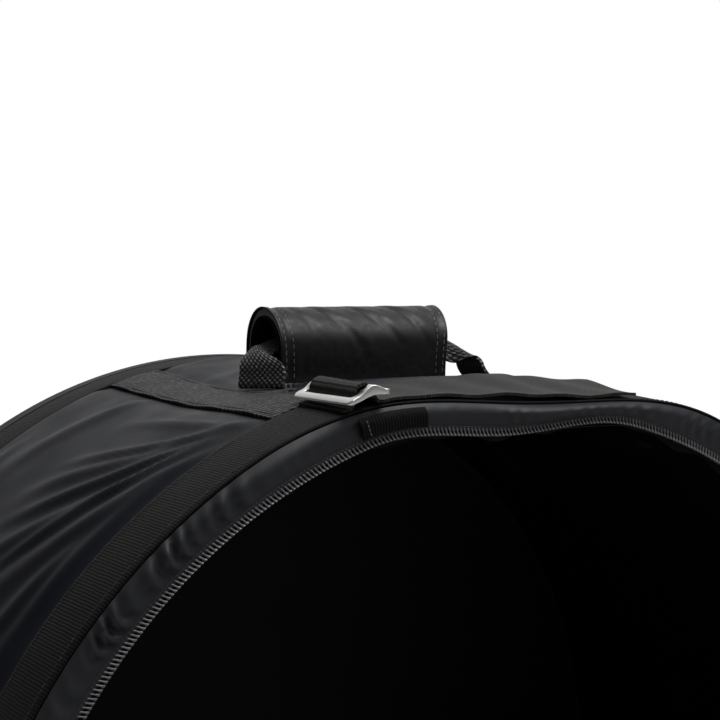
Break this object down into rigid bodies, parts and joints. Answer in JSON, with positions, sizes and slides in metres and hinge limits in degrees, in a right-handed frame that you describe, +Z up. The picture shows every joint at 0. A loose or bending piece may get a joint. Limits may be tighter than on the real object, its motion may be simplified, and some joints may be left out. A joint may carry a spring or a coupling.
{
  "type": "bass drum bag",
  "caption": "Padded round bag for a bass drum, standing on its wall, with a zipped round lid laid open, webbing straps, a slide buckle and a wrapped carrying handle.",
  "frame": {"origin": "on the floor, under the middle of the wall's depth, where the wall's flat rests", "axes": "the bag's round axis runs along Y with its mouth facing -Y, +X is to the right of someone looking into the mouth, and +Z is up"},
  "size_m": [0.6714, 1.0033, 0.678],
  "materials": {
    "nylon": "satin",
    "foam": "matte",
    "lining": "matte",
    "webbing": "matte",
    "binding": "matte",
    "tape": "matte",
    "coil": "satin",
    "nickel": "satin",
    "leatherette": "satin",
    "fastener": "matte"
  },
  "bodies": {
    "bag": {"gusset_shell": "nylon", "gusset_padding": "foam", "gusset_lining": "lining", "front_seam_tape": "binding", "rear_seam_tape": "binding", "back_shell": "nylon", "back_padding": "foam", "back_lining": "lining", "rear_binding": "binding", "front_strap": "webbing", "rear_strap": "webbing", "side_strap_left": "webbing", "side_strap_right": "webbing", "strap_tail": "webbing", "front_strip": "nylon", "strip_facing": "lining", "zipper_tape": "tape", "zipper_coil": "coil", "zipper_stop_left": "nickel", "zipper_stop_right": "nickel", "zipper_tab": "webbing", "hinge_fold": "binding", "handle_patch_left": "webbing", "handle_patch_right": "webbing", "handle_loop": "webbing"},
    "lid": {"lid_shell": "nylon", "lid_padding": "foam", "lid_lining": "lining", "lid_zipper_tape": "tape", "lid_zipper_coil": "coil", "lid_hinge_leaf": "nylon"},
    "slider_left": {"slider_left": "nickel"},
    "slider_right": {"slider_right": "nickel"},
    "pull_left": {"pull_left": "nickel"},
    "pull_right": {"pull_right": "nickel"},
    "buckle": {"buckle_frame": "nickel"},
    "handle": {"wrap_cover": "leatherette", "wrap_padding": "foam", "wrap_lining": "lining", "loop_strip": "fastener"},
    "flap": {"flap_cover": "leatherette", "flap_padding": "foam", "flap_lining": "lining", "hook_strip": "fastener"}
  },
  "joints": [
    {"name": "lid_hinge", "type": "hinge", "parent": "bag", "child": "lid", "pos_m": [0, -0.2092, 0.017], "axis": [-1, 0, 0], "range_deg": [0, 90]},
    {"name": "slider_left_travel", "type": "hinge", "parent": "bag", "child": "slider_left", "pos_m": [0, -0.21, 0.312], "axis": [0, 1, 0], "range_deg": [0, 130]},
    {"name": "slider_right_travel", "type": "hinge", "parent": "bag", "child": "slider_right", "pos_m": [0, -0.21, 0.312], "axis": [0, -1, 0], "range_deg": [0, 130]},
    {"name": "pull_left_swing", "type": "hinge", "parent": "slider_left", "child": "pull_left", "pos_m": [-0.10237, -0.2156, 0.03075], "axis": [-0.342, 0, -0.9397], "range_deg": [0, 170]},
    {"name": "pull_right_swing", "type": "hinge", "parent": "slider_right", "child": "pull_right", "pos_m": [0.10237, -0.2156, 0.03075], "axis": [-0.342, 0, 0.9397], "range_deg": [0, 170]},
    {"name": "buckle_tilt", "type": "hinge", "parent": "bag", "child": "buckle", "pos_m": [-0.09647, -0.186, 0.62733], "axis": [-0.0108, 0.9987, 0.0493], "range_deg": [-4.5, 3.5]},
    {"name": "handle_lift", "type": "slide", "parent": "bag", "child": "handle", "axis": [0, 0, 1], "range_m": [0, 0.03], "deforming": ["handle_loop"]},
    {"name": "flap_hinge", "type": "hinge", "parent": "handle", "child": "flap", "pos_m": [0, -0.042, 0.65364], "axis": [-1, 0, 0], "range_deg": [0, 110]}
  ]
}
